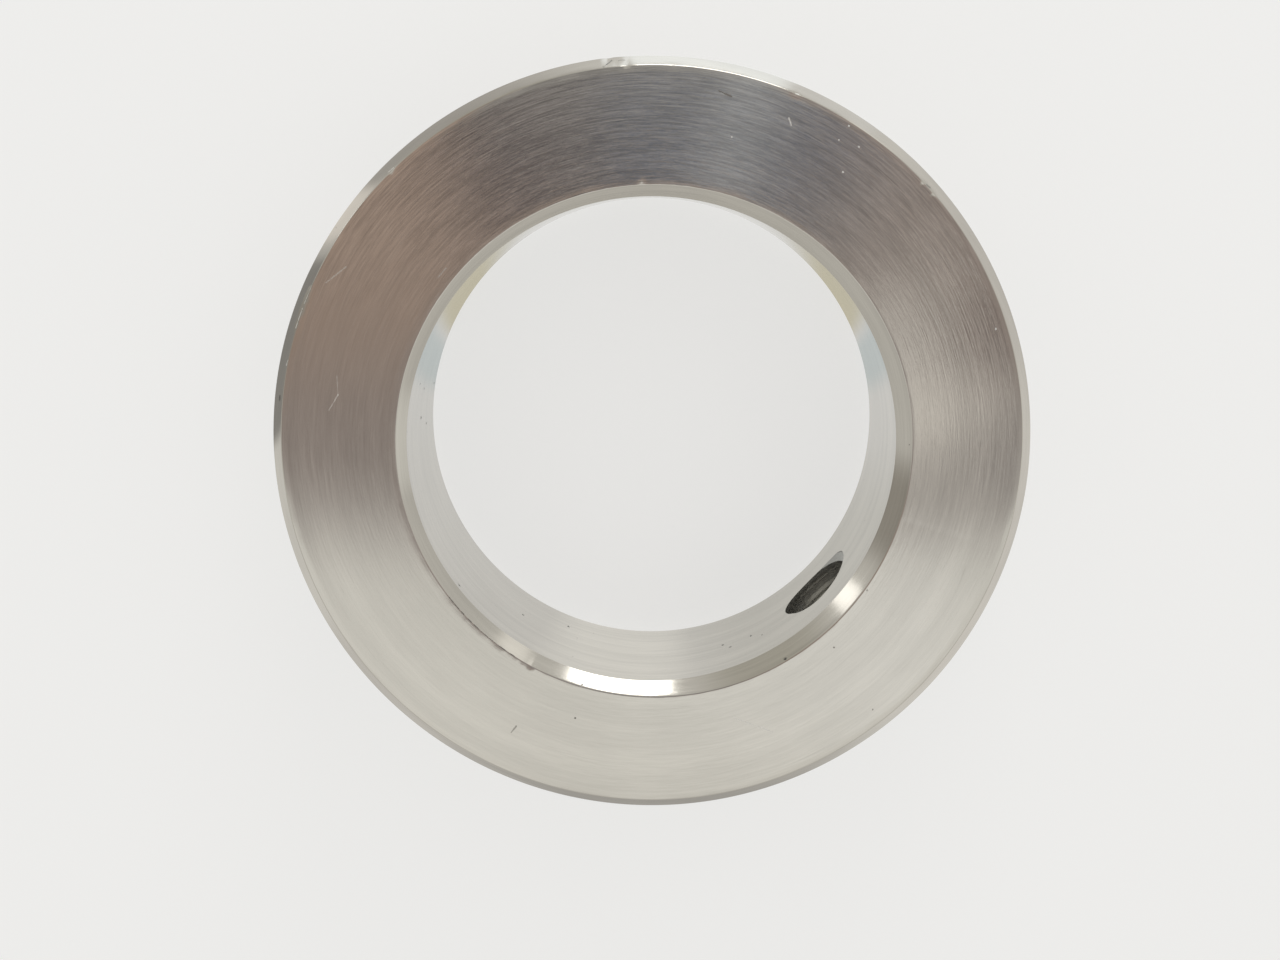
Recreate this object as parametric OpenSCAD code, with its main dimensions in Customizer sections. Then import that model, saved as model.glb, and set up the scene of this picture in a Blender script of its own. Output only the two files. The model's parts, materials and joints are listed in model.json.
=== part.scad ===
// Shaft collar with a grub screw.
// A turned steel ring slides on a shaft, and the grub screw in its wall locks it there.
// The ring lies on one end face, with its bore along Z and the grub screw on the -Y side.
// All sizes are in millimetres.

/* [Collar] */
// Outside diameter
outer_d = 76.2; // [73:0.1:110]
// Bore diameter, a slip fit on the shaft
bore_d = 49.3; // [30:0.1:52]
// Width of the ring along the bore
width = 22.2; // [16:0.1:40]
// Size of the 45 degree chamfer on both outer edges
outer_chamfer = 1; // [0.2:0.1:3]
// Size of the 45 degree chamfer at both ends of the bore
bore_chamfer = 1.2; // [0.2:0.1:3]

/* [Tapped hole] */
// Thread diameter over the crests, for the hole and the screw
thread_d = 9.525; // [8:0.025:12]
// Distance the screw moves in one turn
thread_pitch = 1.5875; // [1:0.0125:1.75]
// Gap all round between the screw and the hole
thread_clearance = 0.05; // [0.01:0.01:0.1]
// How far the hole's outer mouth is opened out, at 45 degrees
countersink = 0.8; // [0.4:0.1:1.5]

/* [Grub screw] */
// Depth of the screw's outer end below the ring's outside
screw_recess = 0.95; // [0.2:0.05:2]
// Turns from rest until the point is tight on the shaft
backoff_turns = 2; // [1:1:3]
// How far the tight point reaches into the bore
point_bite = 0.175; // [0:0.025:0.4]
// Hexagon socket, across flats
socket_flats = 4.7625; // [3:0.0125:5]
// Depth of the socket's flats
socket_depth = 4.4; // [2:0.1:5]
// Angle of the drill point at the socket's end
socket_point_angle = 120; // [90:5:150]
// Diameter of the cup's rim
cup_d = 5.3; // [3.5:0.1:6]
// Angle of the cone inside the cup
cup_angle = 118; // [100:1:140]
// Angle of the point outside the cup
point_angle = 90; // [80:5:110]
// Size of the 45 degree chamfer on the socket end
screw_chamfer = 0.8; // [0.2:0.1:1]

/* [Hidden] */
$fn = 96;
overcut = 1;
bore_r = bore_d / 2;
outer_r = outer_d / 2;
thread_r = thread_d / 2;
hole_r = thread_r + thread_clearance;
cup_r = cup_d / 2;
cup_depth = cup_r / tan(cup_angle / 2);
point_length = (thread_r - cup_r) / tan(point_angle / 2);
point_y = bore_r - point_bite + backoff_turns * thread_pitch;
screw_length = outer_r - screw_recess - point_y;
hex_sides = 6;
socket_d = socket_flats / cos(180 / hex_sides);
drill_r = socket_flats / 2;
drill_depth = drill_r / tan(socket_point_angle / 2);

// Half section of the ring
module collar_section() {
    polygon([
        [bore_r + bore_chamfer, 0],
        [outer_r - outer_chamfer, 0],
        [outer_r, outer_chamfer],
        [outer_r, width - outer_chamfer],
        [outer_r - outer_chamfer, width],
        [bore_r + bore_chamfer, width],
        [bore_r, width - bore_chamfer],
        [bore_r, bore_chamfer]
    ]);
}

// Moves what is drawn along +Z onto the screw's axis, which runs outwards along -Y
module on_screw_axis(distance) {
    translate([0, -distance, width / 2])
        rotate([90, 0, 0])
            children();
}

// Space cut from the ring for the thread and its countersunk outer mouth
module screw_hole() {
    on_screw_axis(0)
        cylinder(r = hole_r, h = outer_r + overcut);
    on_screw_axis(outer_r - countersink)
        cylinder(
            r1 = hole_r,
            r2 = hole_r + countersink + overcut,
            h = countersink + overcut
        );
}

module collar() {
    color("silver")
        difference() {
            rotate_extrude()
                collar_section();
            screw_hole();
        }
}

// Half section of the screw over its thread crests, from the cup point up to the socket end
module screw_section() {
    polygon([
        [0, cup_depth],
        [cup_r, 0],
        [thread_r, point_length],
        [thread_r, screw_length - screw_chamfer],
        [thread_r - screw_chamfer, screw_length],
        [0, screw_length]
    ]);
}

// Hexagon socket with the drill point at its end
module key_socket() {
    translate([0, 0, screw_length - socket_depth])
        cylinder(d = socket_d, h = socket_depth + overcut, $fn = hex_sides);
    translate([0, 0, screw_length - socket_depth - drill_depth])
        cylinder(r1 = 0, r2 = drill_r, h = drill_depth);
}

module grub_screw() {
    color("gray")
        on_screw_axis(point_y)
            difference() {
                rotate_extrude()
                    screw_section();
                key_socket();
            }
}

collar();
grub_screw();
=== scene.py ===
import json
import math

import bmesh
import bpy
from mathutils import Matrix, Vector, noise


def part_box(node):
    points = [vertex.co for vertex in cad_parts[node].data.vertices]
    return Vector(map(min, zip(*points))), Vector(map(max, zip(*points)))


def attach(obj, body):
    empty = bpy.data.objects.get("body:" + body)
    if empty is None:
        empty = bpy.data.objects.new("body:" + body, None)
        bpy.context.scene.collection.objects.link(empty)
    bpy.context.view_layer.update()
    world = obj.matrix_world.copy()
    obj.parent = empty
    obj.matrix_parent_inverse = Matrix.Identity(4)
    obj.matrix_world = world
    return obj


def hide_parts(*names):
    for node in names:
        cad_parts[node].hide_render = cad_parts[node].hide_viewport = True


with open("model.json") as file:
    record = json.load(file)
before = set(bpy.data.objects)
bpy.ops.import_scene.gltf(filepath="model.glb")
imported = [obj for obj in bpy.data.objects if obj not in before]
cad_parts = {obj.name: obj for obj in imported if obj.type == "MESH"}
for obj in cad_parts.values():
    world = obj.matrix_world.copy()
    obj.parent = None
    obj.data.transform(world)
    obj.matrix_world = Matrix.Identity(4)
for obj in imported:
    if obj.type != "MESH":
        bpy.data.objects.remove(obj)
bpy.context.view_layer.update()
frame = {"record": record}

MM = 0.001
MICRON = 0.001 * MM

# Points closer than MERGE become one, edges shorter than SLIVER go, and a cut takes in points within SNAP of its plane
MERGE, SLIVER, SNAP = 0.5 * MICRON, 0.2 * MICRON, 0.01 * MICRON
# A face is flat where its normal's rise passes FLAT, and an edge is sharp where it bends by more degrees than this
FLAT, SHARP_ANGLE = 0.999, 32

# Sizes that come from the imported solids
collar_low, collar_high = (Vector(corner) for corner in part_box("collar"))
screw_low, screw_high = (Vector(corner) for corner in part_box("grub_screw"))
bore_mount = next(m for m in frame["record"]["mounts"] if m["name"] == "bore")
bore_r = bore_mount["dims"]["r_mm"] * MM
outer_r = (collar_high.x - collar_low.x) / 2
width = collar_high.z - collar_low.z
mid_width = width / 2
bore_chamfer = (width - bore_mount["dims"]["length_mm"] * MM) / 2
outer_chamfer = 1.0 * MM
screw_tip = -screw_high.y
screw_end = -screw_low.y
thread_r = (screw_high.x - screw_low.x) / 2

# Thread of the hole and the screw
pitch = 1.5875 * MM
hole_crest_r, hole_land_r, hole_crest_half = thread_r + 0.24 * MM, 4.15 * MM, pitch / 16
screw_crest_r, screw_root_r, screw_crest_half = thread_r - 0.06 * MM, 3.72 * MM, 0.08 * MM
flank_slope = math.tan(math.radians(30))
turn_steps = 64
thread_phase = math.radians(60)

# Where the photograph's right, up and towards-the-viewer lie in the part's frame
view_turn = math.radians(-46.1)
view_right = Vector((math.cos(view_turn), math.sin(view_turn), 0))
view_up = Vector((-view_right.y, view_right.x, 0))
axis_up = Vector((0, 0, 1))


def seen_at(angle, radius, height):
    """A point at an angle counted anticlockwise from the picture's right, in degrees, and a radius and height in mm."""
    turn = math.radians(angle)
    flat = view_right * math.cos(turn) + view_up * math.sin(turn)
    return flat * radius * MM + axis_up * height * MM


# Meshes

def new_piece(name, bm, finishes=()):
    """Makes an object of a bmesh, with its doubles merged and its faces turned outwards."""
    bmesh.ops.remove_doubles(bm, verts=bm.verts[:], dist=MERGE)
    bmesh.ops.recalc_face_normals(bm, faces=bm.faces[:])
    mesh = bpy.data.meshes.new(name)
    bm.to_mesh(mesh)
    bm.free()
    for finish in finishes:
        mesh.materials.append(finish)
    piece = bpy.data.objects.new(name, mesh)
    bpy.context.collection.objects.link(piece)
    return piece


def apply_steps(piece):
    """Turns the piece's modifiers into its mesh, so that none is left live."""
    depsgraph = bpy.context.evaluated_depsgraph_get()
    made = bpy.data.meshes.new_from_object(piece.evaluated_get(depsgraph))
    plain = piece.data
    piece.modifiers.clear()
    piece.data = made
    made.name = piece.name
    bpy.data.meshes.remove(plain)


def combine(piece, tool, operation):
    """Cuts the piece with a tool, or keeps what they share, and removes the tool."""
    step = piece.modifiers.new("combine", "BOOLEAN")
    step.operation = operation
    step.solver = "EXACT"
    step.object = tool
    apply_steps(piece)
    mesh = tool.data
    bpy.data.objects.remove(tool)
    bpy.data.meshes.remove(mesh)


def lathe(points, steps, breaks=None):
    """Spins a closed half section of (radius, height) points, with its corners broken by the given sizes."""
    bm = bmesh.new()
    corners = [bm.verts.new((r, 0, z)) for r, z in points]
    bm.faces.new(corners)
    for corner, size in zip(corners, breaks or []):
        if not size:
            continue
        bmesh.ops.bevel(
            bm, geom=[corner], offset=size, offset_type="OFFSET",
            segments=3, profile=0.5, affect="VERTICES", material=-1,
        )
    bmesh.ops.delete(bm, geom=bm.faces[:], context="FACES_ONLY")
    bmesh.ops.spin(
        bm, geom=bm.verts[:] + bm.edges[:], cent=(0, 0, 0), axis=(0, 0, 1),
        angle=2 * math.pi, steps=steps, use_merge=True,
    )
    return bm


def threaded_rod(root_r, crest_r, crest_half, low, high):
    """A right-hand threaded rod along +Z, cut flat at both ends."""
    foot_half = crest_half + (crest_r - root_r) * flank_slope
    middle = pitch / 2
    outline = [
        (root_r, 0), (root_r, middle - foot_half), (crest_r, middle - crest_half),
        (crest_r, middle + crest_half), (root_r, middle + foot_half), (root_r, pitch),
    ]
    first = math.floor(low / pitch) - 2
    turns = math.ceil(high / pitch) + 2 - first
    bm = bmesh.new()
    line = [bm.verts.new((r, 0, z + first * pitch)) for r, z in outline]
    edges = [bm.edges.new(pair) for pair in zip(line, line[1:])]
    bmesh.ops.spin(
        bm, geom=line + edges, cent=(0, 0, 0), axis=(0, 0, 1), dvec=(0, 0, pitch / turn_steps),
        angle=2 * math.pi * turns, steps=turn_steps * turns, use_merge=False,
    )
    bmesh.ops.remove_doubles(bm, verts=bm.verts[:], dist=MERGE)
    for height, side in ((low, -1), (high, 1)):
        bmesh.ops.bisect_plane(
            bm, geom=bm.verts[:] + bm.edges[:] + bm.faces[:], dist=SNAP,
            plane_co=(0, 0, height), plane_no=(0, 0, side), clear_outer=True,
        )
        rim = [e for e in bm.edges if e.is_boundary and all(abs(v.co.z - height) < MICRON for v in e.verts)]
        bmesh.ops.contextual_create(bm, geom=rim)
    bmesh.ops.rotate(bm, verts=bm.verts[:], cent=(0, 0, 0), matrix=Matrix.Rotation(thread_phase, 3, "Z"))
    return bm


def lay_on_screw_axis(bm):
    """Turns what is built along +Z outwards along -Y, at the middle of the ring's width."""
    bmesh.ops.rotate(bm, verts=bm.verts[:], cent=(0, 0, 0), matrix=Matrix.Rotation(math.pi / 2, 3, "X"))
    bmesh.ops.translate(bm, verts=bm.verts[:], vec=(0, 0, mid_width))


# The collar's finishes, in the order of its material slots
FACE, CHAMFER, BORE, RIM, THREAD = range(5)


def smooth_shading(piece):
    """Smooth faces, with sharp edges where they bend most and round the hole."""
    bm = bmesh.new()
    bm.from_mesh(piece.data)
    bmesh.ops.remove_doubles(bm, verts=bm.verts[:], dist=MERGE)
    bmesh.ops.dissolve_degenerate(bm, edges=bm.edges[:], dist=SLIVER)
    for face in bm.faces:
        face.smooth = True
    for edge in bm.edges:
        finishes = {face.material_index for face in edge.link_faces}
        at_hole = THREAD in finishes and len(finishes) > 1
        edge.smooth = edge.calc_face_angle(0) < math.radians(SHARP_ANGLE) and not at_hole
    bm.to_mesh(piece.data)
    bm.free()


# Height of the upper end face in mm
top = width / MM
# Nicks of the edges: angle in the picture, then radius, reach and depth in mm
nicks = [
    (96.4, 37.9, 0.7, 0.07), (95.2, 37.6, 0.6, 0.06), (93.8, 37.3, 0.6, 0.04), (133.2, 37.2, 0.5, 0.03),
    (43.9, 37.07, 0.6, 0.04), (42.4, 36.9, 0.5, 0.04), (86.7, 37.15, 0.4, 0.02), (67.8, 37.1, 0.4, 0.02),
    (-91.7, 37.6, 0.5, 0.04), (92.3, 25.75, 0.25, 0.02), (-118.3, 25.8, 0.3, 0.03),
]
# Stretches of rough edge: first and last angle, radius, depth of the teeth in mm
rough_edges = [(-143, -118, 25.8, 0.007), (155, 163, 37.1, 0.02)]
# How far a rough stretch reaches from its radius in mm, how quickly its teeth change, and how many of them are cut
rough_reach, tooth_turn, tooth_height, tooth_share = 0.35, 4.7, 3, 0.35
# Uneven wear of every edge: its depth in mm, and how quickly it changes round the ring
wear_depth, slow_wear, fine_wear = 0.0015, 7, 25
# The marked edges lie in this band under the upper face, in mm
marked_band = 1.5
# The upper bore chamfer was cut off centre: how far in mm and towards which angle
chamfer_shift, chamfer_side = 0.28, -30


def picture_angle(place):
    """The angle of a place as the picture shows it, anticlockwise from its right, in degrees."""
    return math.degrees(math.atan2(place.dot(view_up), place.dot(view_right)))


def wear_edges(bm):
    """Uneven edge breaks all round, with nicks and rough stretches on the upper edges."""
    bm.normal_update()
    long_face = 0.3 * MM
    moves = []
    for vert in bm.verts:
        angle = picture_angle(vert.co)
        radius, height = vert.co.xy.length / MM, vert.co.z / MM
        around = vert.co.xy.normalized()
        depth = 0.0
        on_break = all((e.other_vert(vert).co - vert.co).length < long_face for e in section_edges(vert))
        if on_break:
            slow = noise.noise(Vector((around.x * slow_wear, around.y * slow_wear, radius)))
            fine = noise.noise(Vector((around.x * fine_wear, around.y * fine_wear, radius + 7)))
            depth = wear_depth * (1 + slow) + wear_depth * (1 + fine)
        flat = abs(vert.normal.z) > FLAT
        if height > top - marked_band and not flat:
            for first, last, edge_radius, teeth in rough_edges:
                if on_break and first < angle < last and abs(radius - edge_radius) < rough_reach:
                    saw = noise.noise(Vector((angle * tooth_turn, edge_radius, height * tooth_height)))
                    depth += teeth * max(0.0, tooth_share + saw)
            for nick_angle, nick_radius, reach, cut in nicks:
                gap = math.radians(angle - nick_angle) * nick_radius
                share = math.hypot(gap, radius - nick_radius) / reach
                if share < 1:
                    depth += cut * (1 - share * share) ** 2
        moves.append((vert, vert.normal * depth * MM))
    for vert, move in moves:
        vert.co -= move


def section_edges(vert):
    """The edges at a vertex that run along the section, not round the ring."""
    around = Vector((-vert.co.y, vert.co.x, 0)).normalized()
    return [e for e in vert.link_edges if abs((e.other_vert(vert).co - vert.co).normalized().dot(around)) < 0.5]


def bound_breaks(corners):
    """Adds a plain point beyond both ends of each corner's break, which keeps the shading of the strips flat."""
    beyond = 1.6
    rows = []
    for i, (r, z, size) in enumerate(corners):
        here = Vector((r, z))
        if not size:
            rows.append((r, z, 0))
            continue
        sides = [Vector(corners[k % len(corners)][:2]) - here for k in (i - 1, i + 1)]
        before, after = (here + side.normalized() * size * beyond for side in sides)
        rows += [(before.x, before.y, 0), (r, z, size), (after.x, after.y, 0)]
    return rows


def shift_chamfer(bm, inner, bore_depth):
    """Widens and deepens the upper bore chamfer on one side and narrows it on the other."""
    side = seen_at(chamfer_side, 1000, 0)
    reach, face_band = 0.45 * MM, 0.3 * MM
    for vert in bm.verts:
        around = Vector((vert.co.x, vert.co.y, 0)).normalized()
        radius = vert.co.xy.length
        shift = around.dot(side) * chamfer_shift * MM
        near_face = vert.co.z > width - face_band and abs(radius - inner) < reach
        near_wall = radius < bore_r + reach and abs(vert.co.z - width + bore_depth) < reach
        between = bore_r + reach <= radius < inner and width - bore_depth < vert.co.z < width - face_band
        if near_face:
            vert.co += around * shift
        elif near_wall:
            vert.co.z -= shift * bore_depth / bore_chamfer
        elif between:
            vert.co += (around - axis_up * bore_depth / bore_chamfer) * shift / 2


def make_collar(finishes):
    """Turns the ring, wears its edges, and taps and countersinks its hole."""
    ring_steps = 640
    strip = 0.7 * MM
    edge_break, face_break = 0.08 * MM, 0.05 * MM
    inner, outer = bore_r + bore_chamfer, outer_r - outer_chamfer
    # The bore chamfer is cut at about 43 degrees
    bore_depth = 0.93 * bore_chamfer
    # Corners of the section with the sizes of their edge breaks, and plain points that bound narrow strips
    upper = [
        (outer_r, width - outer_chamfer - strip, 0), (outer_r, width - outer_chamfer, edge_break),
        (outer + outer_chamfer / 2, width - outer_chamfer / 2, 0), (outer, width, face_break),
        (outer - strip, width, 0), (inner + strip, width, 0), (inner, width, edge_break),
        (inner - bore_chamfer / 2, width - bore_depth / 2, 0), (bore_r, width - bore_depth, 0),
        (bore_r, width - bore_depth - strip, 0),
    ]
    lower = [(r, width - z, size) for r, z, size in reversed(upper)]
    rows = bound_breaks(upper + lower)
    bm = lathe([(r, z) for r, z, _ in rows], ring_steps, [size for _, _, size in rows])
    bmesh.ops.recalc_face_normals(bm, faces=bm.faces[:])
    bm.normal_update()
    for face in bm.faces:
        radius = face.calc_center_median().xy.length
        if abs(face.normal.z) > FLAT:
            face.material_index = FACE
        elif abs(face.normal.z) > 1 - FLAT:
            face.material_index = CHAMFER
        else:
            face.material_index = BORE if radius < (bore_r + outer_r) / 2 else RIM
    shift_chamfer(bm, inner, bore_depth)
    wear_edges(bm)
    collar = new_piece("turned_collar", bm, finishes)

    tap_start, tap_end = bore_r * 0.6, outer_r + 4 * MM
    tap = threaded_rod(hole_land_r, hole_crest_r, hole_crest_half, tap_start, tap_end)
    combine(collar, thread_tool("tap", tap, finishes), "DIFFERENCE")

    # Countersink at the outer mouth of the hole, by a cone that stands proud of the rim
    mouth_r = hole_crest_r + 0.6 * MM
    point_r, proud = 0.2 * MM, 2 * MM
    depth = mouth_r + proud - point_r
    sink = bmesh.new()
    bmesh.ops.create_cone(
        sink, cap_ends=True, segments=128, radius1=point_r, radius2=mouth_r + proud, depth=depth,
        matrix=Matrix.Translation((0, 0, outer_r + proud - depth / 2)),
    )
    combine(collar, thread_tool("countersink", sink, finishes), "DIFFERENCE")
    smooth_shading(collar)
    return collar


def thread_tool(name, bm, finishes):
    """A cutter on the screw's axis, which leaves the thread's finish where it cuts."""
    lay_on_screw_axis(bm)
    for face in bm.faces:
        face.material_index = THREAD
    return new_piece(name, bm, finishes)


def make_grub_screw(finish):
    """Cuts a threaded rod to its envelope, with a cup point, and then its hexagon socket."""
    socket_half = 4.7625 / 2 * MM
    socket_corner = socket_half / math.cos(math.pi / 6)
    socket_depth, proud, overlap = 4.4 * MM, 2 * MM, 0.01 * MM
    cup_r, cup_lip, cup_depth = 2.65 * MM, 0.12 * MM, 1.592 * MM
    lead_r, lead_depth = socket_corner + 0.2 * MM, 1.7 * MM
    body_r, end_r = thread_r + 1 * MM, thread_r - 0.8 * MM
    rod = threaded_rod(screw_root_r, screw_crest_r, screw_crest_half, screw_tip - pitch, screw_end + pitch)
    screw = new_piece("threaded_grub_screw", rod, [finish])
    envelope = lathe(
        [
            (0, screw_tip + cup_depth), (cup_r - cup_lip, screw_tip), (cup_r, screw_tip),
            (body_r, screw_tip + body_r - cup_r), (body_r, screw_end - body_r + end_r),
            (end_r, screw_end), (lead_r, screw_end), (0, screw_end - lead_depth),
        ],
        steps=96,
    )
    combine(screw, new_piece("envelope", envelope), "INTERSECT")
    key = bmesh.new()
    bmesh.ops.create_cone(
        key, cap_ends=True, segments=6, radius1=socket_corner, radius2=socket_corner, depth=socket_depth + proud,
        matrix=Matrix.Translation((0, 0, screw_end + (proud - socket_depth) / 2)),
    )
    combine(screw, new_piece("key", key), "DIFFERENCE")
    drill = bmesh.new()
    drill_depth = socket_half / math.tan(math.radians(60))
    bmesh.ops.create_cone(
        drill, cap_ends=True, segments=64, radius1=0, radius2=socket_half, depth=drill_depth,
        matrix=Matrix.Translation((0, 0, screw_end - socket_depth - drill_depth / 2 + overlap)),
    )
    combine(screw, new_piece("drill", drill), "DIFFERENCE")
    bm = bmesh.new()
    bm.from_mesh(screw.data)
    lay_on_screw_axis(bm)
    bm.to_mesh(screw.data)
    bm.free()
    smooth_shading(screw)
    return screw


# Shader nodes

class Nodes:
    """Adds nodes to one tree, each with its settings and its inputs, which are values or other nodes' sockets."""

    def __init__(self, tree):
        self.tree = tree

    def add(self, kind, inputs=None, **settings):
        node = self.tree.nodes.new(kind)
        for name, value in settings.items():
            setattr(node, name, value)
        for name, value in (inputs or {}).items():
            if isinstance(value, bpy.types.NodeSocket):
                self.tree.links.new(value, node.inputs[name])
            else:
                node.inputs[name].default_value = value
        return node

    def math(self, operation, a, b=0.0, clamp=False):
        return self.add("ShaderNodeMath", {0: a, 1: b}, operation=operation, use_clamp=clamp).outputs[0]

    def vector(self, operation, a, b=(0, 0, 0), output=0):
        return self.add("ShaderNodeVectorMath", {0: a, 1: b}, operation=operation).outputs[output]

    def dot(self, a, b):
        return self.vector("DOT_PRODUCT", a, b, output=1)

    def scaled(self, a, factor):
        return self.add("ShaderNodeVectorMath", {0: a, "Scale": factor}, operation="SCALE").outputs[0]

    def ramp(self, value, low, high, to_low=0.0, to_high=1.0):
        return self.add(
            "ShaderNodeMapRange",
            {"Value": value, "From Min": low, "From Max": high, "To Min": to_low, "To Max": to_high},
            interpolation_type="SMOOTHSTEP", clamp=True,
        ).outputs["Result"]

    def mix(self, factor, a, b):
        """Mixes two colours. Their sockets go by number, because the node's other kinds have the same names."""
        return self.add("ShaderNodeMix", {0: factor, 6: a, 7: b}, data_type="RGBA").outputs[2]

    def noise(self, vector, scale, detail=3.0, roughness=0.55):
        return self.add(
            "ShaderNodeTexNoise",
            {"Vector": vector, "Scale": scale, "Detail": detail, "Roughness": roughness},
        ).outputs["Fac"]


def new_group(name, inputs, outputs):
    """An empty node group with its sockets, ready for its nodes."""
    tree = bpy.data.node_groups.new(name, "ShaderNodeTree")
    for label, kind, value in inputs:
        socket = tree.interface.new_socket(label, in_out="INPUT", socket_type=kind)
        socket.default_value = value
    for label, kind in outputs:
        tree.interface.new_socket(label, in_out="OUTPUT", socket_type=kind)
    nodes = Nodes(tree)
    return tree, nodes, nodes.add("NodeGroupInput").outputs, nodes.add("NodeGroupOutput")


def finish_group(tree, out, values):
    for label, socket in values.items():
        tree.links.new(socket, out.inputs[label])
    return tree


def make_turning_marks():
    """Fine arcs left by the lathe and by sanding, around the Z axis, with each surface's own spacing."""
    tree, n, given, out = new_group(
        "turning_marks",
        [
            ("Point", "NodeSocketVector", (0, 0, 0)), ("Across", "NodeSocketFloat", 6.0),
            ("Along", "NodeSocketFloat", 8.0),
        ],
        [
            ("Fine", "NodeSocketFloat"), ("Streak", "NodeSocketFloat"), ("Line", "NodeSocketFloat"),
            ("ScuffAndSheen", "NodeSocketFloat"), ("Band", "NodeSocketFloat"),
        ],
    )
    millimetres = n.scaled(given["Point"], 1000.0)
    flat = n.vector("MULTIPLY", millimetres, (1, 1, 0))
    radius = n.vector("LENGTH", flat, output=1)
    around = n.vector("NORMALIZE", flat)
    height = n.add("ShaderNodeSeparateXYZ", {0: millimetres}).outputs["Z"]
    # The way along the section, whether it runs across a face or down a wall
    section = n.math("ADD", radius, n.math("MULTIPLY", height, 0.83))

    def arcs(across_share, along_share, start):
        step = n.math("ADD", n.math("MULTIPLY", section, n.math("MULTIPLY", given["Across"], across_share)), start)
        lift = n.add("ShaderNodeCombineXYZ", {"X": 0.0, "Y": 0.0, "Z": step}).outputs[0]
        return n.vector("ADD", n.scaled(around, n.math("MULTIPLY", given["Along"], along_share)), lift)

    fine = n.noise(arcs(1.0, 1.0, 0.0), 1.0, 3.0, 0.65)
    streak = n.noise(arcs(0.45, 0.4, 31.0), 1.0, 4.0, 0.7)
    line = n.noise(arcs(0.4, 0.1, 67.0), 1.0, 1.0, 0.5)
    thin = n.ramp(n.math("ABSOLUTE", n.math("SUBTRACT", line, 0.5)), 0.02, 0.004)
    broken = n.ramp(n.noise(arcs(0.12, 0.2, 11.0), 1.0, 1.0), 0.52, 0.64)
    # Streaks for the scuffs, which also carry painted sheen
    scuff_and_sheen = n.noise(arcs(0.7, 0.8, 43.0), 1.0, 5.0, 0.75)
    band = n.noise(arcs(0.08, 0.06, 5.0), 1.0, 2.0, 0.5)
    return finish_group(tree, out, {
        "Fine": fine, "Streak": streak, "Line": n.math("MULTIPLY", thin, broken),
        "ScuffAndSheen": scuff_and_sheen, "Band": band,
    })


def make_scratch():
    """A thin straight scratch from one point to another, or a dot where they meet."""
    tree, n, given, out = new_group(
        "scratch",
        [
            ("Point", "NodeSocketVector", (0, 0, 0)), ("Waver", "NodeSocketFloat", 1.0),
            ("From", "NodeSocketVector", (0, 0, 0)), ("To", "NodeSocketVector", (0.001, 0, 0)),
            ("Width", "NodeSocketFloat", 0.0001), ("Strength", "NodeSocketFloat", 1.0),
        ],
        [("Mask", "NodeSocketFloat")],
    )
    offset = n.vector("SUBTRACT", given["Point"], given["From"])
    run = n.vector("SUBTRACT", given["To"], given["From"])
    share = n.math("DIVIDE", n.dot(offset, run), n.dot(run, run), clamp=True)
    away = n.vector("LENGTH", n.vector("SUBTRACT", offset, n.scaled(run, share)), output=1)
    reach = n.math("MULTIPLY", given["Width"], given["Waver"])
    mask = n.ramp(n.math("DIVIDE", away, reach), 1.0, 0.3)
    return finish_group(tree, out, {"Mask": n.math("MULTIPLY", mask, given["Strength"])})


def make_specks():
    """Small scattered spots, such as pits or dust."""
    tree, n, given, out = new_group(
        "specks",
        [
            ("Point", "NodeSocketVector", (0, 0, 0)), ("Spacing", "NodeSocketFloat", 1.0),
            ("Size", "NodeSocketFloat", 0.1), ("Share", "NodeSocketFloat", 0.1),
        ],
        [("Mask", "NodeSocketFloat")],
    )
    place = n.scaled(given["Point"], n.math("DIVIDE", 1000.0, given["Spacing"]))
    cells = n.add("ShaderNodeTexVoronoi", {"Vector": place, "Scale": 1.0})
    pick = n.add("ShaderNodeSeparateColor", {0: cells.outputs["Color"]}).outputs
    size = n.math("MULTIPLY", given["Size"], n.ramp(pick[1], 0.0, 1.0, 0.35, 1.0))
    spot = n.ramp(cells.outputs["Distance"], size, n.math("MULTIPLY", size, 0.4))
    return finish_group(tree, out, {"Mask": n.math("MULTIPLY", spot, n.math("LESS_THAN", pick[0], given["Share"]))})


turning_marks = make_turning_marks()
scratch = make_scratch()
specks = make_specks()

STEEL = (0.66, 0.63, 0.57, 1)
THREAD_STEEL = (0.76, 0.755, 0.72, 1)
SCREW_STEEL = (0.58, 0.565, 0.53, 1)
PIT = (0.15, 0.145, 0.135, 1)
BRIGHT = (0.9, 0.89, 0.86, 1)
LEAST_ROUGHNESS = 0.05


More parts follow.
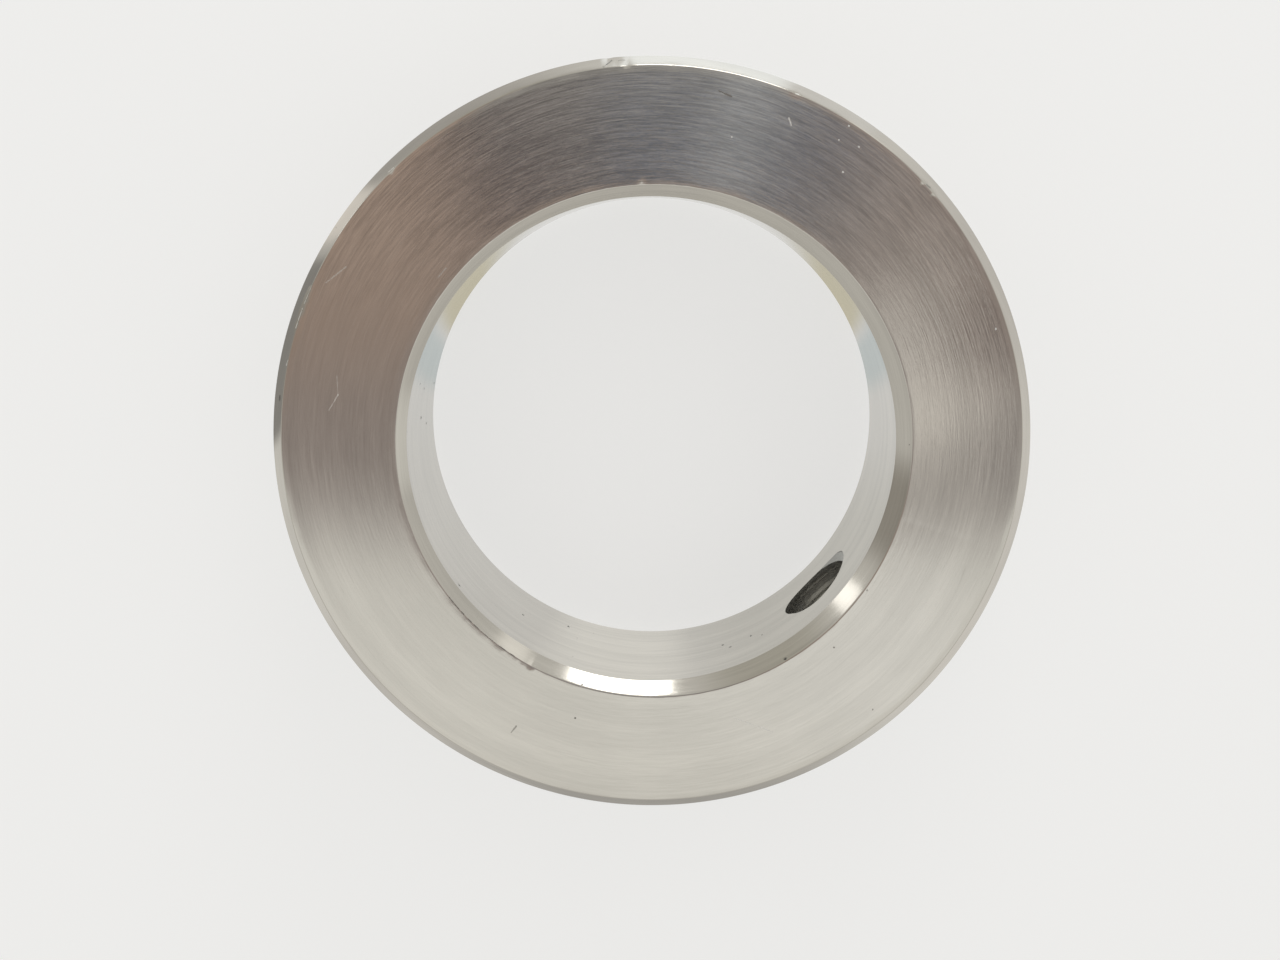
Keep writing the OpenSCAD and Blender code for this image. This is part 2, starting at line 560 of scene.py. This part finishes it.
def steel(
    name, colour, roughness, across, along, relief, streak_rough=0.08, streak_tone=0.05, band_tone=0.05,
    bright_marks=(), dark_marks=(), pits=None, grain=0.0, scuffs_and_sheen=None, mouth_tone=None, metal=1.0, on_screw=False,
):
    """A turned steel finish: arcs in relief, roughness and tone, with pits, scratches, dents and scuffs where given.

    The arcs are spaced by across and along, and stand up by relief in microns. Scuffs are partly real and partly
    painted sheen: their lighter and darker streaks grow between two heights up the picture in metres, painted strongest
    towards the top where the light brings them out. Pits have a spacing, a size and a share, and mouth_tone darkens the
    hole's inner mouth.
    """
    material = bpy.data.materials.new(name)
    material.use_nodes = True
    tree = material.node_tree
    tree.nodes.clear()
    n = Nodes(tree)
    point = n.add("ShaderNodeTexCoord").outputs["Object"]
    millimetres = n.scaled(point, 1000.0)
    turned = point
    if on_screw:
        turned = n.add(
            "ShaderNodeMapping",
            {"Vector": point, "Location": (0, mid_width, 0), "Rotation": (math.pi / 2, 0, 0)},
            vector_type="POINT",
        ).outputs[0]
    marks = n.add(
        "ShaderNodeGroup", {"Point": turned, "Across": across, "Along": along}, node_tree=turning_marks
    ).outputs
    slow = n.noise(millimetres, 0.09, 2.0)

    # Tone
    shade = n.math("ADD", n.math("MULTIPLY", marks["Band"], 0.6), n.math("MULTIPLY", slow, 0.4))
    tone = n.ramp(shade, 0.3, 0.7, 1 - band_tone, 1 + band_tone)
    tone = n.math("MULTIPLY", tone, n.ramp(marks["Fine"], 0.25, 0.75, 1 - streak_tone, 1 + streak_tone))
    tone = n.math("MULTIPLY", tone, n.ramp(marks["Streak"], 0.25, 0.75, 1 - streak_tone, 1 + streak_tone))
    tone = n.math("MULTIPLY", tone, n.math("SUBTRACT", 1.0, n.math("MULTIPLY", marks["Line"], 2 * streak_tone)))
    if scuffs_and_sheen:
        # Painted sheen: the scuffs' lighter and darker streaks in the tone grow towards the top of the picture, where
        # the light brings them out
        share = n.ramp(n.dot(point, tuple(view_up)), *scuffs_and_sheen)
        scuff_and_sheen = n.ramp(marks["ScuffAndSheen"], 0.3, 0.7, -0.16, 0.26)
        scuff_and_sheen = n.math("SUBTRACT", scuff_and_sheen, n.math("MULTIPLY", marks["Line"], 0.14))
        tone = n.math("MULTIPLY", tone, n.math("ADD", 1.0, n.math("MULTIPLY", scuff_and_sheen, share)))
    if mouth_tone:
        mouth_start, mouth_end = bore_r + 0.3 * MM, bore_r + 1.4 * MM
        depth = n.dot(point, (0, -1, 0))
        tone = n.math("MULTIPLY", tone, n.ramp(depth, mouth_start, mouth_end, mouth_tone, 1.0))
    base = n.scaled(colour[:3], tone)

    # Roughness and relief
    rough = n.math("MULTIPLY", n.math("SUBTRACT", marks["Streak"], 0.5), streak_rough * 2)
    rough = n.math("ADD", rough, n.math("MULTIPLY", n.math("SUBTRACT", marks["Fine"], 0.5), streak_rough))
    rough = n.math("ADD", rough, roughness)
    height = n.math("ADD", marks["Fine"], n.math("MULTIPLY", marks["Streak"], 1.6))
    height = n.math("MULTIPLY", height, n.ramp(share, 0.0, 1.0, 0.5 * relief, relief) if scuffs_and_sheen else relief)
    if grain:
        height = n.math("ADD", height, n.math("MULTIPLY", n.noise(millimetres, 9.0, 4.0, 0.65), grain))

    # Pits, dents and scratches: a pit's share of its colour and its depth, what each adds in roughness, and
    # how far a bright scratch is dulled
    pit_share, pit_depth, pit_rough, mark_rough, mark_dull = 0.75, 6.0, 0.3, 0.35, 0.8
    if pits:
        spacing, size, part = pits
        mask = n.add(
            "ShaderNodeGroup", {"Point": point, "Spacing": spacing, "Size": size, "Share": part}, node_tree=specks
        ).outputs["Mask"]
        base = n.mix(n.math("MULTIPLY", mask, pit_share), base, PIT)
        rough = n.math("ADD", rough, n.math("MULTIPLY", mask, pit_rough))
        height = n.math("SUBTRACT", height, n.math("MULTIPLY", mask, pit_depth))
    for listed, mark_colour in ((dark_marks, PIT), (bright_marks, BRIGHT)):
        waver = n.ramp(n.noise(millimetres, 2.5, 2.0), 0.35, 0.6, 0.35, 1.1) if listed else None
        for start, end, size, strength in listed:
            mask = n.add(
                "ShaderNodeGroup",
                {"Point": point, "Waver": waver, "From": start, "To": end, "Width": size * MM, "Strength": strength},
                node_tree=scratch,
            ).outputs["Mask"]
            base = n.mix(mask, base, mark_colour)
            rough = n.math("ADD", rough, n.math("MULTIPLY", mask, mark_rough))
            if mark_colour == BRIGHT:
                metal = n.math("SUBTRACT", metal, n.math("MULTIPLY", mask, mark_dull), clamp=True)

    bump = n.add("ShaderNodeBump", {"Strength": 1.0, "Distance": MICRON, "Height": height})
    shader = n.add(
        "ShaderNodeBsdfPrincipled",
        {
            "Base Color": base, "Metallic": metal, "Roughness": n.math("MAXIMUM", rough, LEAST_ROUGHNESS),
            "Normal": bump.outputs["Normal"],
        },
    )
    output = n.add("ShaderNodeOutputMaterial")
    tree.links.new(shader.outputs["BSDF"], output.inputs["Surface"])
    return material


def face_mark(start, end, size, strength=1.0):
    """A scratch on the upper end face, between two (angle, radius) places as the picture shows them."""
    return seen_at(*start, top), seen_at(*end, top), size, strength


def face_dot(angle, radius, size, strength=1.0):
    """A small round mark on the upper end face, which is a scratch of almost no length."""
    return face_mark((angle, radius), (angle + 0.05, radius), size, strength)


face_scratches = [
    face_mark((153.17, 35.96), (149.39, 34.94), 0.1, 0.32),
    face_mark((167.3, 32.07), (170.66, 31.67), 0.08, 0.25),
    face_mark((170.66, 31.67), (173.56, 32.4), 0.1, 0.33),
    face_mark((-73.2, 29.5), (-67.1, 32.3), 0.07, 0.5),
    face_mark((141.5, 26.9), (138.8, 26.87), 0.1, 0.3),
    face_mark((67.59, 34.74), (66.77, 34.2), 0.12, 0.8),
    face_dot(75.6, 31.28, 0.13), face_dot(58.84, 35.07, 0.13), face_dot(55.4, 32.75, 0.13),
    face_dot(58.66, 36.69, 0.12), face_dot(55.6, 35.57, 0.12), face_dot(19.0, 35.98, 0.14),
]
face_dents = [
    face_mark((79.4, 35.24), (77.2, 34.95), 0.14, 0.6), face_mark((-115.8, 33.1), (-115.5, 32.3), 0.13, 0.5),
    face_dot(-105.5, 29.35, 0.14), face_dot(-48.0, 27.9, 0.14, 0.6), face_dot(-34.0, 26.4, 0.16, 0.8),
    face_dot(-50.2, 35.6, 0.14, 0.6),
]


def chamfer_mark(start, end, size, strength=1.0):
    """A mark on the upper outer chamfer, where the height follows the radius."""
    face_edge = (outer_r - outer_chamfer) / MM
    ends = [seen_at(angle, radius, top - max(0.0, radius - face_edge)) for angle, radius in (start, end)]
    return *ends, size, strength


chamfer_burrs = [
    chamfer_mark((154.5, 37.12), (157.5, 37.14), 0.05, 0.6), chamfer_mark((158.3, 37.15), (161.5, 37.16), 0.06, 0.9),
    chamfer_mark((166.6, 37.15), (167.4, 37.2), 0.12, 0.7), chamfer_mark((86.5, 37.15), (86.9, 37.15), 0.1, 0.9),
    chamfer_mark((67.6, 37.12), (68.0, 37.12), 0.1, 0.9), chamfer_mark((132.6, 37.2), (133.6, 37.25), 0.1, 0.5),
]
chamfer_dents = [
    chamfer_mark((97.2, 37.2), (96.7, 37.45), 0.14, 0.7), chamfer_mark((96.7, 37.45), (95.9, 37.8), 0.12, 0.8),
    chamfer_mark((95.4, 37.75), (94.0, 37.7), 0.1, 0.5),
    chamfer_mark((172.4, 37.45), (172.9, 37.45), 0.2, 0.7),
    chamfer_mark((44.0, 37.15), (43.2, 37.2), 0.14, 0.6),
]

# A pit where the bore chamfer meets the face
edge_pit = [(seen_at(-58.05, 26.0, top - 0.11), seen_at(-58.0, 26.0, top - 0.11), 0.3, 1.0)]

# The broken dark line of the burr along the bore chamfer, which drifts outwards
burr_starts = (-143, -141, -138.6, -136.9, -134.5, -132.2, -130.5, -128.3, -126.5, -124)
burr_length = 1.6


def burr_place(angle):
    """The angle and the radius of a point on the burr."""
    return angle, 25.76 + 0.004 * (angle - burr_starts[0])


burr_line = [face_mark(burr_place(angle), burr_place(angle + burr_length), 0.06) for angle in burr_starts]

# Pits of the bore wall, each drawn out a little down the wall
speck_strength = 0.85
bore_specks = [
    (seen_at(angle, bore_r / MM, height), seen_at(angle, bore_r / MM, height - length), size, speck_strength)
    for angle, height, length, size in (
        (176.7, 11.2, 0.4, 0.28), (167.1, 15.3, 0.25, 0.18), (169.4, 11.0, 0.25, 0.18), (170.0, 2.6, 0.3, 0.22),
        (179.4, 7.0, 0.3, 0.22), (-143.2, 20.3, 0.2, 0.2), (-112.1, 6.1, 0.3, 0.2), (-124.6, 10.8, 0.2, 0.2),
        (-64.0, 12.5, 0.3, 0.24), (-71.5, 11.8, 0.2, 0.2), (-69.7, 13.6, 0.2, 0.2), (-61.2, 14.2, 0.2, 0.18),
    )
]

# The end face's scuffs are partly painted sheen, strongest towards the top of the picture
face_steel = steel(
    "sanded_end_face", STEEL, roughness=0.1, across=7.5, along=12.0, relief=4.2, streak_rough=0.05, streak_tone=0.03,
    scuffs_and_sheen=(0.008, 0.026), bright_marks=face_scratches, dark_marks=face_dents + edge_pit + burr_line,
)
chamfer_steel = steel(
    "turned_chamfer", STEEL, roughness=0.12, across=9.0, along=6.0, relief=1.5, streak_rough=0.05, streak_tone=0.03,
    pits=(1.2, 0.12, 0.05), bright_marks=chamfer_burrs, dark_marks=chamfer_dents + edge_pit + burr_line,
)
bore_steel = steel(
    "bored_wall", STEEL, roughness=0.16, across=7.0, along=4.0, relief=2.0, band_tone=0.07,
    pits=(0.9, 0.14, 0.08), dark_marks=bore_specks,
)
rim_steel = steel(
    "turned_rim", STEEL, roughness=0.25, across=6.0, along=3.0, relief=4.0, pits=(1.2, 0.12, 0.04),
)
thread_steel = steel(
    "tapped_thread", THREAD_STEEL, roughness=0.24, across=4.0, along=6.0, relief=0.5, streak_rough=0.04,
    streak_tone=0.06, grain=0.3, mouth_tone=0.62, metal=0.85, on_screw=True,
)
screw_steel = steel(
    "machined_screw", SCREW_STEEL, roughness=0.3, across=6.0, along=5.0, relief=1.5, grain=4.0,
    pits=(0.9, 0.14, 0.05), on_screw=True,
)

collar = make_collar((face_steel, chamfer_steel, bore_steel, rim_steel, thread_steel))
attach(collar, "collar")
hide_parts("collar")

grub_screw = make_grub_screw(screw_steel)
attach(grub_screw, "grub_screw")
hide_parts("grub_screw")


# Floor, surroundings, lamps and camera

# The floor's colour under the lamps, its glow to the camera, and the backdrop
FLOOR = (0.8, 0.8, 0.79, 1)
PAPER = (1.16, 1.16, 1.15, 1)
BACKDROP = (0.845, 0.845, 0.835, 1)
FLOOR_HALF = 4
# How much of the floor glows, as the camera sees it and as metal mirrors it
SEEN_GLOW, MIRRORED_GLOW = 0.54, 0.9


def toward(n, flat, angle, near, far):
    """A mask that is 1 within the near angle of a picture angle and 0 beyond the far one, in degrees."""
    way = seen_at(angle, 1000, 0)
    return n.ramp(n.dot(flat, tuple(way)), math.cos(math.radians(far)), math.cos(math.radians(near)))


def make_floor():
    """A pale floor, evenly bright for the camera, whose glow for glossy rays holds painted reflections for the chamfers
    and the bore, with painted shade and painted highlights among their tones.
    """
    bm = bmesh.new()
    bmesh.ops.create_grid(bm, x_segments=1, y_segments=1, size=FLOOR_HALF)
    floor = new_piece("floor", bm)
    material = bpy.data.materials.new("pale_floor")
    material.use_nodes = True
    tree = material.node_tree
    tree.nodes.clear()
    n = Nodes(tree)
    place = n.add("ShaderNodeTexCoord").outputs["Object"]
    flat = n.vector("NORMALIZE", n.vector("MULTIPLY", place, (1, 1, 0)))

    # Painted reflections for the chamfers outside the ring, with painted shade in the darker tones and a painted
    # highlight in the brightest: angle, its near and far limits, and the tone with its share of blue
    painted_outer_tones = FLOOR
    for angle, near, far, tone, blue in (
        (20, 5, 28, 0.73, 0.98), (335, 12, 34, 0.83, 0.98), (231, 9, 20, 0.71, 0.98), (270, 2, 38, 0.47, 0.98),
        (132, 6, 34, 0.48, 0.96), (147.5, 3, 7, 0.93, 0.94), (170.5, 13, 16, 0.29, 0.98), (60, 7, 11, 0.88, 1.02),
        (81, 12, 16, 1.27, 1.1),
    ):
        painted_outer_tones = n.mix(toward(n, flat, angle, near, far), painted_outer_tones, (tone, tone * (1 + blue) / 2, tone * blue, 1))

    # Painted reflections for the bore inside the ring, lighter and darker by place, with a cool and a straw band
    lift = n.dot(place, tuple(view_up))
    painted_bore_tones = n.mix(n.ramp(lift, 0.015, 0.024), (0.73, 0.73, 0.72, 1), (0.93, 0.93, 0.92, 1))
    painted_bore_tones = n.mix(toward(n, flat, 262, 4, 20), painted_bore_tones, (0.88, 0.88, 0.86, 1))
    painted_bore_tones = n.mix(toward(n, flat, 315, 15, 40), painted_bore_tones, (0.67, 0.67, 0.65, 1))
    painted_cool_band = n.math("MULTIPLY", n.ramp(lift, 0.002, 0.005), n.ramp(lift, 0.0095, 0.0075))
    painted_bore_tones = n.mix(painted_cool_band, painted_bore_tones, (0.6, 0.65, 0.66, 1))
    painted_straw_band = n.math("MULTIPLY", n.ramp(lift, 0.0085, 0.011), n.ramp(lift, 0.02, 0.015))
    painted_bore_tones = n.mix(painted_straw_band, painted_bore_tones, (0.62, 0.585, 0.46, 1))
    painted_reflection = n.mix(n.ramp(n.vector("LENGTH", place, output=1), 0.027, 0.036), painted_bore_tones, painted_outer_tones)

    path = n.add("ShaderNodeLightPath").outputs
    # Metal mirrors the painted reflections, while the camera sees the even paper glow
    colour = n.mix(path["Is Glossy Ray"], PAPER, painted_reflection)
    plain = n.math("MAXIMUM", path["Is Camera Ray"], path["Is Transmission Ray"])
    seen = n.math("MULTIPLY", plain, SEEN_GLOW)
    share = n.math("MAXIMUM", seen, n.math("MULTIPLY", path["Is Glossy Ray"], MIRRORED_GLOW))
    paper = n.add("ShaderNodeBsdfDiffuse", {"Color": FLOOR}).outputs[0]
    glow = n.add("ShaderNodeEmission", {"Color": colour, "Strength": 1.0}).outputs[0]
    both = n.add("ShaderNodeMixShader", {0: share, 1: paper, 2: glow})
    tree.links.new(both.outputs[0], n.add("ShaderNodeOutputMaterial").inputs["Surface"])
    floor.data.materials.append(material)


def make_surroundings():
    """A dim warm room overhead, a dark patch round the camera, and pale paper low down."""
    world = bpy.data.worlds.new("surroundings")
    bpy.context.scene.world = world
    world.use_nodes = True
    tree = world.node_tree
    tree.nodes.clear()
    n = Nodes(tree)
    way = n.vector("NORMALIZE", n.add("ShaderNodeTexCoord").outputs["Generated"])
    flat = n.vector("NORMALIZE", n.vector("MULTIPLY", way, (1, 1, 0)))
    rise = n.math("MAXIMUM", n.dot(way, (0, 0, 1)), 0.02)
    slope_up = n.math("DIVIDE", n.dot(way, tuple(view_up)), rise)
    slope_right = n.math("DIVIDE", n.dot(way, tuple(view_right)), rise)

    # The room, brown on the left and greyer on the right
    left_room = n.mix(n.ramp(slope_up, -0.05, -0.14), (0.395, 0.31, 0.268, 1), (0.32, 0.28, 0.27, 1))
    right_room = n.mix(n.ramp(slope_up, -0.05, -0.16), (0.35, 0.305, 0.29, 1), (0.46, 0.44, 0.43, 1))
    overhead = n.mix(n.ramp(slope_right, -0.1, 0.12), left_room, right_room)
    # Soft patches on the right: their place and half size as slopes, and their colour
    for right, up, wide, high, patch in (
        (0.148, -0.1, 0.046, 0.07, (0.73, 0.71, 0.69, 1)), (0.18, -0.123, 0.03, 0.032, (0.87, 0.845, 0.815, 1)),
        (0.222, -0.07, 0.034, 0.034, (0.19, 0.15, 0.145, 1)), (0.235, -0.152, 0.035, 0.035, (0.28, 0.26, 0.26, 1)),
    ):
        gap_right = n.math("DIVIDE", n.math("SUBTRACT", slope_right, right), wide)
        gap_up = n.math("DIVIDE", n.math("SUBTRACT", slope_up, up), high)
        reach = n.math("ADD", n.math("MULTIPLY", gap_right, gap_right), n.math("MULTIPLY", gap_up, gap_up))
        overhead = n.mix(n.ramp(reach, 1.2, 0.1), overhead, patch)

    # The dark patch, with its lighter stripe
    shade = n.mix(n.ramp(slope_right, -0.031, -0.024), (0.125, 0.105, 0.115, 1), (0.112, 0.135, 0.205, 1))
    middle = n.math("ADD", n.math("MULTIPLY", slope_up, 0.27), 0.0413)
    stripe = n.ramp(n.math("ABSOLUTE", n.math("SUBTRACT", slope_right, middle)), 0.026, 0.004)
    shade = n.mix(n.ramp(slope_up, 0.052, 0.082, 0.0, 0.9), shade, (0.36, 0.355, 0.35, 1))
    low = n.math("MULTIPLY", n.ramp(slope_up, 0.04, 0.01, 0.0, 0.65), n.ramp(slope_right, -0.09, -0.03, 0.2, 1.0))
    shade = n.mix(low, shade, (0.26, 0.26, 0.26, 1))
    faded = n.ramp(n.math("ABSOLUTE", n.math("SUBTRACT", slope_up, 0.043)), 0.004, 0.024, 0.5, 0.9)
    shade = n.mix(n.math("MULTIPLY", stripe, faded), shade, (0.5, 0.525, 0.56, 1))
    slant = n.math("ADD", slope_right, n.math("MULTIPLY", slope_up, 0.25))
    dark = n.math("MULTIPLY", n.ramp(slant, -0.124, -0.108), n.ramp(slope_right, 0.18, 0.08))
    dark = n.math("MULTIPLY", dark, n.ramp(slope_up, -0.06, 0.0))
    overhead = n.mix(dark, overhead, shade)

    # Pale paper on the near side
    paper = n.mix(n.ramp(slope_right, -0.1, 0.15), (0.85, 0.855, 0.84, 1), (0.92, 0.93, 0.93, 1))
    paper = n.mix(n.ramp(slope_right, 0.17, 0.225), paper, (0.83, 0.835, 0.82, 1))
    paper = n.mix(n.ramp(slope_up, -0.31, -0.38), paper, (0.82, 0.82, 0.8, 1))
    begin = n.ramp(slope_right, -0.15, 0.15, -0.152, -0.186)
    end = n.ramp(slope_right, -0.15, 0.15, -0.243, -0.226)
    overhead = n.mix(n.ramp(slope_up, begin, end), overhead, paper)

    # Low down: angle, its near and far limits, and the colour
    low_down = (0.6, 0.595, 0.575, 1)
    for angle, near, far, patch in (
        (173, 5, 16, (0.34, 0.325, 0.3, 1)), (122, 4, 22, (0.465, 0.455, 0.415, 1)),
        (350, 6, 14, (0.73, 0.73, 0.71, 1)), (50.5, 2, 6, (0.95, 0.94, 0.91, 1)),
    ):
        low_down = n.mix(toward(n, flat, angle, near, far), low_down, patch)
    colour = n.mix(n.ramp(rise, 0.8, 0.93), low_down, overhead)
    path = n.add("ShaderNodeLightPath").outputs
    colour = n.mix(path["Is Camera Ray"], colour, BACKDROP)
    sky = n.add("ShaderNodeBackground", {"Color": colour, "Strength": 1.0})
    tree.links.new(sky.outputs[0], n.add("ShaderNodeOutputWorld").inputs["Surface"])


def add_lamp(name, angle, elevation, distance, size, radiance):
    """A soft box at a picture angle and an elevation, facing the collar."""
    lamp = bpy.data.lights.new(name, "AREA")
    lamp.shape = "RECTANGLE"
    lamp.size, lamp.size_y = size
    lamp.energy = radiance * math.pi * size[0] * size[1]
    holder = bpy.data.objects.new(name, lamp)
    tilt = math.radians(elevation)
    away = seen_at(angle, 1000, 0) * math.cos(tilt) + axis_up * math.sin(tilt)
    holder.location = away * distance + axis_up * mid_width
    holder.rotation_euler = away.to_track_quat("Z", "Y").to_euler()
    bpy.context.collection.objects.link(holder)


def add_camera():
    """The photograph's camera, in outside radii from the centre of the upper end face."""
    right_shift, up_shift, distance = -0.0089, 0.6069, 4.1742
    turn, tilt = -0.0051, -0.1654
    focal_pixels, picture_width = 1605.36, 1280
    data = bpy.data.cameras.new("camera")
    data.sensor_width = 36
    data.lens = focal_pixels / picture_width * data.sensor_width
    data.clip_start = 0.01
    camera = bpy.data.objects.new("camera", data)
    forward = (
        view_right * math.sin(turn) * math.cos(tilt)
        - axis_up * math.cos(turn) * math.cos(tilt)
        + view_up * math.sin(tilt)
    )
    right = view_right * math.cos(turn) + axis_up * math.sin(turn)
    over = right.cross(forward)
    place = (view_right * right_shift + view_up * up_shift + axis_up * distance) * outer_r + axis_up * width
    turned = Matrix((right, over, -forward)).transposed().to_4x4()
    camera.matrix_world = Matrix.Translation(place) @ turned
    bpy.context.collection.objects.link(camera)
    bpy.context.scene.camera = camera


make_floor()
make_surroundings()
add_lamp("main_soft_box", angle=80.5, elevation=16, distance=0.45, size=(0.205, 0.2), radiance=3.0)
add_lamp("side_soft_box", angle=149, elevation=18, distance=0.45, size=(0.055, 0.12), radiance=1.05)
add_camera()
bpy.context.scene.view_settings.view_transform = "Standard"
